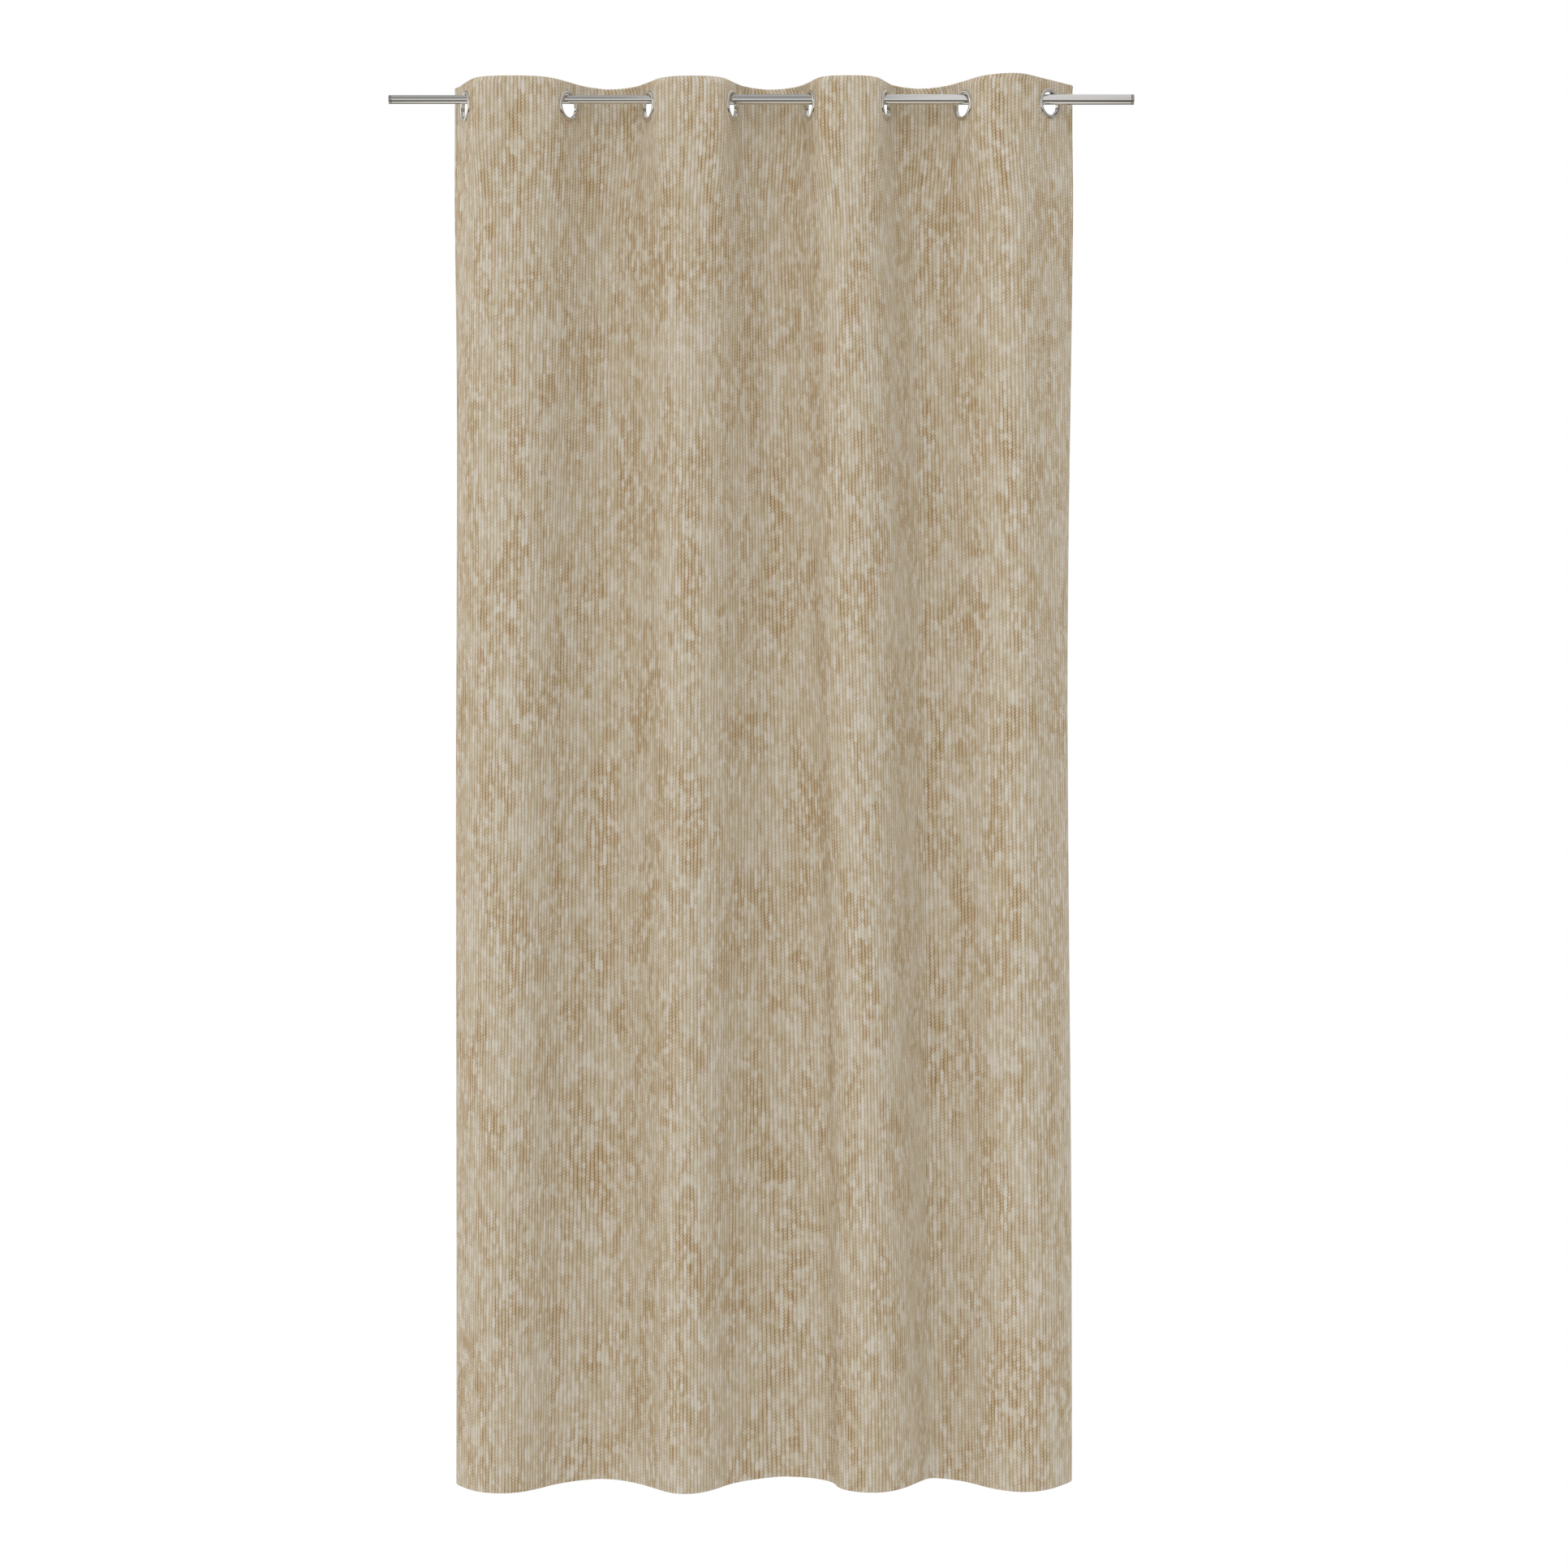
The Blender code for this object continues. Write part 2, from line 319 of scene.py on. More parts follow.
def cloth_place(tree):
    """Metres across and down the flat cloth."""
    flat = add_node(tree, "ShaderNodeUVMap", {"uv_map": CLOTH_UV}).outputs[0]
    across, along, _ = split(tree, flat)
    return across, along


def chenille_material():
    """Beige melange chenille in plaited ribs: soft pale pile, with painted shade in every gap
    between the ribs and between the beads, deepened to brown where the core shows in patches, and no
    shine but a faint bloom at grazing angles."""
    material, tree, shader = new_material("beige_melange_chenille")
    across, along = cloth_place(tree)

    # Ribs, whose edges zigzag once in a rib's width, as plaited yarns do.
    bend = calc(tree, "PINGPONG", over(tree, along, RIB), 0.5)
    wander = noise(tree, combine(tree, times(tree, across, 9), along), 14, 1)
    rib = scaled(tree, bend, 0.34, over(tree, across, RIB))
    rib = scaled(tree, wander, 0.5, rib)
    number = calc(tree, "FLOOR", rib)
    in_rib = calc(tree, "SUBTRACT", calc(tree, "FRACT", rib), 0.5)
    from_middle = times(tree, calc(tree, "ABSOLUTE", in_rib), 2)
    gap_shade_and_core = ramp(tree, from_middle, 0.42, 0.88)

    # Beads of pile along each rib, out of step with the next rib.
    bead_place = scaled(tree, number, 0.37, over(tree, along, BEAD))
    bead = ramp(tree, calc(tree, "PINGPONG", bead_place, 0.5), 0.02, 0.36)

    def along_rib(step, length, detail, roughness):
        """Noise that is drawn out along each rib, and is another noise in the next rib."""
        place = combine(tree, times(tree, number, step), over(tree, along, length))
        return noise(tree, place, 1, detail, roughness)

    # Melange: the brown core shows between the ribs in dashes a few centimetres long, and the
    # dashes gather in patches.
    shade = along_rib(7.31, 0.050, 2, 0.6)
    patch_place = combine(tree, over(tree, across, 0.050), over(tree, along, 0.21))
    patch = ramp(tree, noise(tree, patch_place, 1, 3, 0.6), 0.40, 0.62)
    dash = ramp(tree, along_rib(3.77, 0.034, 2, 0.6), 0.40, 0.58)
    brown = times(tree, dash, scaled(tree, patch, 0.60, 0.40))
    hue = along_rib(5.13, 0.08, 1, 0.5)

    pile = mix(tree, ramp(tree, shade, 0.36, 0.70), rgb("#dcd6ca"), rgb("#c9bea3"))
    pile = mix(tree, times(tree, brown, 0.50), pile, rgb("#bd9f68"))
    tan_core_and_painted_shade = mix(tree, ramp(tree, hue, 0.42, 0.60), rgb("#8a6624"), rgb("#946a38"))
    # Painted shade: every gap between the ribs is darkened towards tan by about a third, and fully
    # where the brown core shows in dashes.
    colour = mix(tree, times(tree, gap_shade_and_core, scaled(tree, brown, 0.68, 0.32)), pile, tan_core_and_painted_shade)
    # Painted shade between the beads too: a tenth everywhere, and more in the brown dashes.
    bead_hollow_shade_and_core = calc(tree, "SUBTRACT", 1.0, bead)
    colour = mix(tree, times(tree, bead_hollow_shade_and_core, scaled(tree, brown, 0.22, 0.10)), colour, tan_core_and_painted_shade)

    # Loose pile, about 0.7 mm, drawn coarser than real fibres so that it holds at this scale.
    fibre_place = combine(tree, over(tree, across, 0.0007), over(tree, along, 0.0016))
    fibres = noise(tree, fibre_place, 1, 2, 0.7)
    colour = mix(tree, ramp(tree, fibres, 0.2, 0.8, 0.0, 0.22), colour, rgb("#e4ded1"))

    crown = calc(tree, "SUBTRACT", 1.0, calc(tree, "POWER", from_middle, 2.2))
    height = times(tree, crown, scaled(tree, bead, 0.35, 0.65))
    relief = bumped(tree, scaled(tree, fibres, 0.35, height), 0.55, 0.0010)
    link_inputs(tree, shader, Base_Color=colour, Roughness=0.92, Normal=relief)
    link_inputs(tree, shader, Sheen_Weight=0.18, Sheen_Roughness=0.5, Sheen_Tint=rgb("#e9e2d4"))
    link_inputs(tree, shader, Specular_IOR_Level=0.25)
    return material


def tape_material():
    """White woven stiffener tape: matt, with a fine even weave."""
    material, tree, shader = new_material("white_woven_header_tape")
    across, along = cloth_place(tree)
    # Threads are 0.4 mm in life and drawn at 0.9 mm.
    weft = calc(tree, "PINGPONG", over(tree, along, 0.0009), 0.5)
    warp = calc(tree, "PINGPONG", over(tree, across, 0.0009), 0.5)
    slub_place = combine(tree, over(tree, across, 0.03), over(tree, along, 0.0012))
    slub = ramp(tree, noise(tree, slub_place, 1, 2), 0.3, 0.7)
    colour = mix(tree, slub, rgb("#eceae2"), rgb("#dddad0"))
    weave = bumped(tree, times(tree, weft, warp), 0.5, 0.0003)
    link_inputs(tree, shader, Base_Color=colour, Roughness=0.85, Normal=weave)
    return material


def thread_material():
    """Polyester sewing thread: beige, and a little smoother than the cloth."""
    material, tree, shader = new_material("beige_sewing_thread")
    mottle = noise(tree, object_place(tree), 1400, 1)
    colour = mix(tree, ramp(tree, mottle, 0.3, 0.7), rgb("#cbbd9f"), rgb("#b5a582"))
    link_inputs(tree, shader, Base_Color=colour, Roughness=0.6)
    return material


def steel_material():
    """Satin stainless tube: a soft mirror, drawn out along the tube, with faint darker streaks."""
    material, tree, shader = new_material("satin_stainless_steel")
    x, y, z = split(tree, object_place(tree))

    def drawn_out(along, around, detail, roughness):
        place = combine(tree, times(tree, x, along), times(tree, y, around), times(tree, z, around))
        return noise(tree, place, 1, detail, roughness)

    # Polishing lines run along the tube: 0.3 mm apart in life, drawn at about 0.8 mm.
    streak = drawn_out(5, 1200, 3, 0.6)
    cloud = drawn_out(9, 60, 2, 0.5)
    colour = mix(tree, ramp(tree, streak, 0.25, 0.75), rgb("#dad8d4"), rgb("#e9e7e3"))
    rough = scaled(tree, streak, 0.07, scaled(tree, cloud, 0.07, 0.05))
    lines = bumped(tree, streak, 0.06, 0.0002)
    link_inputs(tree, shader, Base_Color=colour, Metallic=1.0, Roughness=rough, Normal=lines)
    return material


def nickel_material():
    """Polished nickel-plated brass: nearly a mirror, a shade warmer than steel, faintly hazed."""
    material, tree, shader = new_material("polished_nickel_plate")
    haze = noise(tree, object_place(tree), 90, 3, 0.6)
    colour = mix(tree, ramp(tree, haze, 0.3, 0.7), rgb("#e6e2db"), rgb("#d8d3ca"))
    rough = scaled(tree, haze, 0.10, 0.08)
    link_inputs(tree, shader, Base_Color=colour, Metallic=1.0, Roughness=rough)
    return material


def plug_material():
    """Plated pressed cap: duller and darker than the tube, so the end shows as a thin line."""
    material, tree, shader = new_material("plated_end_plug")
    haze = noise(tree, object_place(tree), 160, 2)
    colour = mix(tree, ramp(tree, haze, 0.3, 0.7), rgb("#b5b2ad"), rgb("#a6a39e"))
    link_inputs(tree, shader, Base_Color=colour, Metallic=1.0, Roughness=0.30)
    return material


def floor_material():
    """Pale matt studio floor."""
    material, tree, shader = new_material("pale_matt_floor")
    mottle = noise(tree, object_place(tree), 3, 2)
    colour = mix(tree, ramp(tree, mottle, 0.2, 0.8), rgb("#e9e8e5"), rgb("#e3e2df"))
    link_inputs(tree, shader, Base_Color=colour, Roughness=0.7)
    return material


# Rigid pieces


def only(obj):
    bpy.ops.object.select_all(action="DESELECT")
    obj.select_set(True)
    bpy.context.view_layer.objects.active = obj
    return obj


def apply_modifiers(obj):
    for modifier in list(only(obj).modifiers):
        bpy.ops.object.modifier_apply(modifier=modifier.name)


def settle_piece(obj, name, material, smooth_angle=PLAIN_SMOOTH):
    """Applies the modifiers and the place, so that the object sits at the origin."""
    apply_modifiers(obj)
    bpy.ops.object.transform_apply(location=True, rotation=True, scale=True)
    bpy.ops.object.shade_smooth_by_angle(angle=math.radians(smooth_angle))
    obj.name = obj.data.name = name
    obj.data.materials.clear()
    obj.data.materials.append(material)
    return obj


def add_modifier(obj, kind, **settings):
    modifier = obj.modifiers.new(kind.lower(), kind)
    for name, value in settings.items():
        setattr(modifier, name, value)
    return modifier


def select_where(obj, test, faces=False):
    """Selects the vertices or faces that pass a test, in edit mode, and nothing else."""
    bpy.ops.mesh.select_mode(type="FACE" if faces else "VERT")
    bpy.ops.mesh.select_all(action="DESELECT")
    bm = bmesh.from_edit_mesh(obj.data)
    for item in bm.faces if faces else bm.verts:
        item.select = bool(test(item))
    bm.select_flush_mode()
    bmesh.update_edit_mesh(obj.data)


def add_tube(name, start_x, end_x, diameter, wall, material):
    bpy.ops.mesh.primitive_cylinder_add(
        vertices=ROD_SEGMENTS,
        radius=diameter / 2,
        depth=end_x - start_x,
        end_fill_type="NOTHING",
        location=((start_x + end_x) / 2, 0, 0),
        rotation=(0, math.pi / 2, 0),
    )
    tube = bpy.context.active_object
    add_modifier(tube, "SOLIDIFY", thickness=wall, offset=-1)
    add_modifier(tube, "BEVEL", width=TUBE_EDGE, segments=2, limit_method="ANGLE")
    return settle_piece(tube, name, material)


def add_plug(name, end_x, inward, diameter, wall, material):
    """A cap as wide as its tube, with a narrower spigot drawn out of its inner face."""
    bpy.ops.mesh.primitive_cylinder_add(
        vertices=ROD_SEGMENTS,
        radius=diameter / 2,
        depth=PLUG_FLANGE,
        location=(0, 0, PLUG_FLANGE / 2),
    )
    plug = bpy.context.active_object
    bpy.ops.object.transform_apply(location=True)
    bpy.ops.object.mode_set(mode="EDIT")
    select_where(plug, lambda face: face.normal.z > 0.9, faces=True)
    bpy.ops.mesh.inset(thickness=wall + TUBE_FIT)
    bpy.ops.mesh.extrude_region_move(TRANSFORM_OT_translate={"value": (0, 0, PLUG_SPIGOT)})
    bpy.ops.object.mode_set(mode="OBJECT")
    add_modifier(plug, "BEVEL", width=PLUG_EDGE, segments=3, limit_method="ANGLE")
    plug.rotation_euler = (0, inward * math.pi / 2, 0)
    plug.location = (end_x, 0, 0)
    return settle_piece(plug, name, material)


def add_rod(steel, cap):
    left, right = -ROD_LENGTH / 2, ROD_LENGTH / 2
    wide_size = (OUTER_TUBE_D, OUTER_TUBE_WALL)
    thin_size = (INNER_TUBE_D, INNER_TUBE_WALL)
    wide = add_tube("wide_tube", OUTER_TUBE_START_X, right - PLUG_MOUTH, *wide_size, steel)
    start = left + PLUG_MOUTH
    thin = add_tube("thin_tube", start, start + INNER_TUBE_LENGTH, *thin_size, steel)
    right_plug = add_plug("right_plug", right, -1, *wide_size, cap)
    left_plug = add_plug("left_plug", left, 1, *thin_size, cap)
    for piece, body, node, slot in (
        (wide, "rod", "rod_outer_tube", "rod_steel"),
        (right_plug, "rod", "rod_end_plug_right", "rod_end_plug"),
        (thin, "rod_slider", "rod_inner_tube", "rod_steel"),
        (left_plug, "rod_slider", "rod_end_plug_left", "rod_end_plug"),
    ):
        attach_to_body(piece, body)
        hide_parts(node)


def add_half_ring(inner_r, outer_r, height, base):
    """The upper half of a ring's tube, flattened to a height, open underneath."""
    bpy.ops.mesh.primitive_torus_add(
        major_segments=RING_SEGMENTS,
        minor_segments=RING_SIDE_SEGMENTS,
        major_radius=(inner_r + outer_r) / 2,
        minor_radius=(outer_r - inner_r) / 2,
    )
    ring = bpy.context.active_object
    bpy.ops.object.mode_set(mode="EDIT")
    select_where(ring, lambda vert: vert.co.z < -1e-6)
    bpy.ops.mesh.delete(type="VERT")
    bpy.ops.mesh.select_all(action="SELECT")
    bpy.ops.transform.resize(
        value=(1, 1, height / ((outer_r - inner_r) / 2)), center_override=(0, 0, 0)
    )
    bpy.ops.transform.translate(value=(0, 0, base))
    bpy.ops.object.mode_set(mode="OBJECT")
    return ring


def add_face_ring_master():
    """Domed rim, with the bore drawn down as the neck that goes through the cloth."""
    ring = add_half_ring(BORE_R, RIM_R, DOME_HEIGHT, DOME_BASE)
    bpy.ops.object.mode_set(mode="EDIT")
    select_where(ring, lambda vert: vert.co.xy.length < BORE_R + 1e-5)
    bpy.ops.mesh.extrude_region_move(
        TRANSFORM_OT_translate={"value": (0, 0, -DOME_BASE - NECK_HALF)}
    )
    bpy.ops.mesh.select_all(action="SELECT")
    bpy.ops.mesh.normals_make_consistent(inside=False)
    bpy.ops.object.mode_set(mode="OBJECT")
    add_modifier(ring, "SOLIDIFY", thickness=FACE_RING_WALL, offset=-1)
    return ring


def add_clip_ring_master():
    """Shallow domed ring behind the cloth."""
    ring = add_half_ring(CLIP_R, RIM_R, CLIP_HEIGHT, 0)
    ring.rotation_euler = (math.pi, 0, 0)
    ring.location = (0, 0, CLIP_FACE)
    bpy.ops.object.transform_apply(location=True, rotation=True)
    add_modifier(ring, "SOLIDIFY", thickness=CLIP_WALL, offset=-1)
    return ring


def side_of(link):
    """Which way a fold turns, and which side of the rod the crest after it is: -1 is in front."""
    return -1 if link % 2 == 0 else 1


def ring_heights():
    """The z of each eyelet's centre, as the CAD has it."""
    boxes = [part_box(f"eyelet_face_ring_{link + 1}") for link in range(EYELETS)]
    return [(low.z + high.z) / 2 for low, high in boxes]


def add_eyelets(nickel):
    heights = ring_heights()
    masters = (
        ("eyelet", "eyelet_face_ring", add_face_ring_master()),
        ("clip", "eyelet_clip_ring", add_clip_ring_master()),
    )
    for short, node, master in masters:
        apply_modifiers(master)
        for link in range(EYELETS):
            ring = master.copy()
            ring.data = master.data.copy()
            bpy.context.scene.collection.objects.link(ring)
            ring.location = (EYELET_XS[link], 0, heights[link])
            turn = math.radians(RING_TURNS[link]) * side_of(link)
            ring.rotation_euler = (math.pi / 2, 0, turn)
            settle_piece(ring, f"{short}_{link + 1}", nickel, RING_SMOOTH)
            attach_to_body(ring, f"fold_{link + 1}")
            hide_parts(f"{node}_{link + 1}")
        bpy.data.objects.remove(master)


# Cloth


def bezier(p0, p1, p2, p3):
    t = np.linspace(0, 1, CURVE_POINTS)[:, None]
    return (1 - t) ** 3 * p0 + 3 * (1 - t) ** 2 * t * p1 + 3 * (1 - t) * t**2 * p2 + t**3 * p3


def half_fold(middle, run, straight, crest, roundness):
    """Points from a fold's middle, along its straight part, and round to the crest."""
    start = middle + run * straight
    reach = np.linalg.norm(crest - start)
    level = np.array((math.copysign(1, crest[0] - start[0]), 0))
    leaving = start + run * reach * STRAIGHT_HANDLE
    curve = bezier(start, leaving, crest - level * reach * roundness, crest)
    return np.vstack([middle[None, :], curve]) if straight > 0 else curve


def spaced(points):
    """The same line with its points at even distances, and its length."""
    steps = np.hypot(*np.diff(points, axis=0).T)
    reached = np.concatenate([[0], np.cumsum(steps)])
    wanted = np.linspace(0, reached[-1], SPAN_POINTS)
    return np.stack([np.interp(wanted, reached, points[:, n]) for n in (0, 1)], 1), reached[-1]


def plan(middles, turns, crests, straight, offset, curls):
    """The fold line at one height, as spans: the left flap, two halves for each crest, the right
    flap. The offset is from the eyelets' centres towards the cloth's face."""
    runs, centres = [], []
    for link in range(EYELETS):
        turn = math.radians(turns[link]) * side_of(link)
        run = np.array((math.cos(turn), math.sin(turn)))
        runs.append(run)
        centres.append(np.array((middles[link], 0.0)) + offset * np.array((run[1], -run[0])))
    spans = [flap(centres[0], -runs[0], LEFT_FLAP, curls[0], straight)[::-1]]
    for link in range(EYELETS - 1):
        crest = np.array(crests[link])
        in_front = side_of(link) < 0
        left = FRONT_ROUNDNESS if in_front else BACK_LEFT_ROUNDNESS
        right = FRONT_ROUNDNESS if in_front else BACK_RIGHT_ROUNDNESS
        spans.append(half_fold(centres[link], runs[link], straight, crest, left))
        spans.append(half_fold(centres[link + 1], -runs[link + 1], straight, crest, right)[::-1])
    spans.append(flap(centres[-1], runs[-1], RIGHT_FLAP, curls[1], straight))
    return spans


def flap(centre, run, length, curl, straight):
    """The free cloth beyond an end eyelet: straight at first, then curling by some degrees."""
    steps = np.linspace(0, length, FLAP_POINTS)
    bent = np.clip((steps - straight) / (length - straight), 0, 1)
    heading = math.atan2(run[1], run[0]) + math.radians(curl) * bent**1.5
    moves = np.stack([np.cos(heading), np.sin(heading)], 1) * (length / (FLAP_POINTS - 1))
    return centre + np.concatenate([[[0, 0]], np.cumsum(moves[:-1], axis=0)])


class Drape:
    """The hung cloth as a surface: (across, down) in metres of flat cloth to a place."""

    def __init__(self):
        levels = [
            plan(EYELET_XS, RING_TURNS, RING_CRESTS, RING_STRAIGHT, CLOTH_MIDDLE, RING_CURLS),
            plan(EYELET_XS, TOP_TURNS, TOP_CRESTS, TOP_STRAIGHT, CLOTH_MIDDLE, TOP_CURLS),
            plan(HEM_MIDDLES, HEM_TURNS, HEM_CRESTS, HEM_STRAIGHT, 0.0, HEM_CURLS),
        ]
        lengths = [spaced(span)[1] for span in levels[0]]
        ribs = [max(1, round(length / RIB)) for length in lengths]
        self.stops = np.concatenate([[0], np.cumsum(ribs)]) * RIB
        self.width = self.stops[-1]
        self.eyelets = self.stops[1::2][:EYELETS]
        ends = zip(self.stops, self.stops[1:])
        self.table = np.concatenate([np.linspace(*pair, SPAN_POINTS) for pair in ends])
        # A stop is the end of one span and the start of the next, so the table is made to rise.
        self.table += np.arange(len(self.table)) * 1e-12
        self.levels = [np.vstack([spaced(span)[0] for span in spans]) for spans in levels]
        self.tops = np.array(ring_heights()) + TOP_ABOVE_EYELET

    def weights(self, down):
        """The shares of the plans at the rings, at the top and at the hem."""
        away = np.abs(down - TOP_ABOVE_EYELET)
        above = smoothstep(RING_HOLD, EASED_ABOVE, away)
        below = smoothstep(RING_HOLD, EASED_BELOW, away)
        ring = 1 - np.where(down < TOP_ABOVE_EYELET, above, below)
        hem = np.clip((down - HEADER_HEIGHT) / (CLOTH_HEIGHT - HEADER_HEIGHT), 0, 1)
        hem = hem * (1 + HEM_EARLINESS * (1 - hem))
        return ring, (1 - ring) * (1 - hem), (1 - ring) * hem

    def place(self, across, down):
        pairs = list(zip(self.weights(down), self.levels))
        x, y = (
            sum(share * np.interp(across, self.table, level[:, axis]) for share, level in pairs)
            for axis in (0, 1)
        )
        z = np.interp(across, self.eyelets, self.tops) - down
        # Slow waves of about 2 mm, below the header.
        free = smoothstep(WAVES_START, WAVES_FULL, down)
        crossing = np.sin(across * 31 + 1.9 * np.sin(down * 2.1))
        y = y + free * 0.0016 * crossing * np.sin(down * 3.7 + across * 9)
        x = x + free * 0.0022 * np.sin(across * 17 + 2.0) * np.sin(down * 2.9 + 0.7 + across * 5)
        return np.stack([x, y, z], -1)

    def normal(self, across, down):
        """Towards the face of the cloth."""
        step = 0.0008
        width = self.place(across + step, down) - self.place(across - step, down)
        height = self.place(across, down - step) - self.place(across, down + step)
        facing = np.cross(width, height)
        return facing / np.linalg.norm(facing, axis=-1, keepdims=True)

    def relief(self, across, down):
        """The ribs' own swell, pressed flat under the rings."""
        below = down - TOP_ABOVE_EYELET
        near = np.min([np.hypot(across - place, below) for place in self.eyelets], axis=0)
        swell = -np.cos(across / RIB * 2 * math.pi) * RIB_RELIEF
        return swell * smoothstep(RIM_R + 0.0005, RIM_R + 0.005, near)


def rows_down():
    """Distances below the top of the cloth's main layer, close together by the rings."""
    parts = [
        np.linspace(TOP_TURN_R, RING_ROWS_START, 5)[:-1],
        np.linspace(RING_ROWS_START, RING_ROWS_END, 31)[:-1],
        np.linspace(RING_ROWS_END, HEADER_HEIGHT, 6)[:-1],
        np.linspace(HEADER_HEIGHT, EVEN_ROWS_START, 13)[:-1],
        np.linspace(EVEN_ROWS_START, CLOTH_HEIGHT - BOTTOM_HEM, 102)[:-1],
        np.linspace(CLOTH_HEIGHT - BOTTOM_HEM, CLOTH_HEIGHT, 8),
    ]
    return np.concatenate(parts)


def row_path():
    """Rows from the turned-over top, down the main layer, to the turned-up hem: what each row
    belongs to, how far round its turn it is, and its distance from the top."""
    rows = [(TOP_LAYER, math.pi, down) for down in np.linspace(TOP_TURN, 0.003, 4)]
    rows += [(TOP_LAYER, angle, 0.0) for angle in np.linspace(math.pi, 0, 8)[:-1]]
    rows += [(MAIN_LAYER, 0.0, down) for down in rows_down()[:-1]]
    rows += [(HEM_LAYER, angle, CLOTH_HEIGHT) for angle in np.linspace(0, math.pi, 8)]
    rows += [(HEM_LAYER, math.pi, CLOTH_HEIGHT - up) for up in np.linspace(0.004, BOTTOM_HEM, 6)]
    return rows


def column_path(drape, first, last):
    """(across, offset) of the columns between two places, with side hems at the cloth's ends."""
    count = round((last - first) / RIB * COLUMNS_PER_RIB)
    main = [(a, 0.0) for a in np.linspace(first, last, count + 1)]
    radius = LAYER / 2
    angles = np.linspace(0, math.pi, 7)
    turn = [(radius - radius * math.sin(a), -radius + radius * math.cos(a)) for a in angles]
    back = [(a, -LAYER) for a in np.linspace(radius, SIDE_HEM, 12)[1:]]
    hem = turn + back
    if first == 0:
        return hem[::-1] + [(a, o) for a, o in main if a > radius]
    if last == drape.width:
        main = [(a, o) for a, o in main if a < last - radius]
        return main + [(last - a, o) for a, o in hem]
    return main


def clear_hole(across, down, place, here=True):
    """Moves the points inside an eyelet's hole out to its edge, and says which they were."""
    dx, dz = across - place, down - TOP_ABOVE_EYELET
    far = np.hypot(dx, dz)
    inside = (far < HOLE_R - HOLE_TOLERANCE) & here
    grow = HOLE_R / np.maximum(far, 1e-9)
    across = np.where(inside, place + dx * grow, across)
    down = np.where(inside, TOP_ABOVE_EYELET + dz * grow, down)
    return across, down, inside


def open_quads(gone):
    """A grid's quads, without those whose four corners were all inside a hole."""
    number = np.arange(gone.size).reshape(gone.shape)
    quads = np.stack([number[:-1, :-1], number[1:, :-1], number[1:, 1:], number[:-1, 1:]], -1)
    inside = gone[:-1, :-1] & gone[1:, :-1] & gone[1:, 1:] & gone[:-1, 1:]
    return quads[~inside]


def grid_mesh(points, quads, flat_u, flat_v):
    """A mesh of the points that the quads use, with its flat UVs."""
    points = points.reshape(-1, 3)
    flat = np.stack([flat_u.ravel(), flat_v.ravel()], -1)
    used = np.zeros(len(points), bool)
    used[quads.ravel()] = True
    index = np.cumsum(used) - 1
    mesh = bpy.data.meshes.new("grid")
    mesh.from_pydata(points[used].tolist(), [], index[quads].tolist())
    uv = mesh.uv_layers.new(name=CLOTH_UV)
    uv.data.foreach_set("uv", flat[quads].astype(np.float32).ravel())
    mesh.update()
    return mesh


def cloth_mesh(drape, first, last):
    """The cloth's middle surface between two places across it."""
    columns = column_path(drape, first, last)
    rows = row_path()
    across, side = (np.array(part)[None, :].repeat(len(rows), 0) for part in zip(*columns))
    layer, angle, down = (np.array(part)[:, None].repeat(len(columns), 1) for part in zip(*rows))
    main, at_top, at_hem = layer == MAIN_LAYER, layer == TOP_LAYER, layer == HEM_LAYER
    face = main & (side == 0)

    gone = np.zeros(across.shape, bool)
    for place in (first, last):
        if np.min(np.abs(drape.eyelets - place)) < SAME_PLACE:
            across, down, inside = clear_hole(across, down, place, face)
            gone |= inside

    # The top and the hem turn about a line behind the cloth, further back where a side hem lies
    # between their layers.
    doubled = np.maximum(
        1 - smoothstep(SIDE_HEM, SIDE_HEM + HEM_STEP, across),
        1 - smoothstep(SIDE_HEM, SIDE_HEM + HEM_STEP, drape.width - across),
    )
    top_centre = -TOP_TURN_R - doubled * (1.5 * LAYER - TOP_TURN_R)
    hem_centre = -(0.5 + doubled) * LAYER
    centre = np.where(at_top, top_centre, np.where(at_hem, hem_centre, 0.0))
    down = np.where(main, np.clip(down, -top_centre, CLOTH_HEIGHT + hem_centre), down)
    swell = drape.relief(across, down) * face
    arm = side - centre
    offset = np.where(main, side + swell, centre + arm * np.cos(angle))
    turning = np.where(main, 0.0, arm * np.sin(angle))
    flat_part = (angle == math.pi) & ~main
    down = np.where(at_top & ~flat_part, -centre - turning, down)
    down = np.where(at_hem & ~flat_part, CLOTH_HEIGHT + centre + turning, down)
    down = np.where(at_top & flat_part, np.maximum(down, -centre), down)
    down = np.where(at_hem & flat_part, np.minimum(down, CLOTH_HEIGHT + centre), down)

    normal = drape.normal(across, np.clip(down, 0.001, CLOTH_HEIGHT - 0.001))
    points = drape.place(across, down) + normal * offset[..., None]
    turned = np.where(across < drape.width / 2, -across, 2 * drape.width - across)
    flat_u = np.where(side < 0, turned, across)
    flat_v = np.where(at_hem, 2 * CLOTH_HEIGHT - down, np.where(at_top, -down, down))
    return grid_mesh(points, open_quads(gone), flat_u, flat_v)


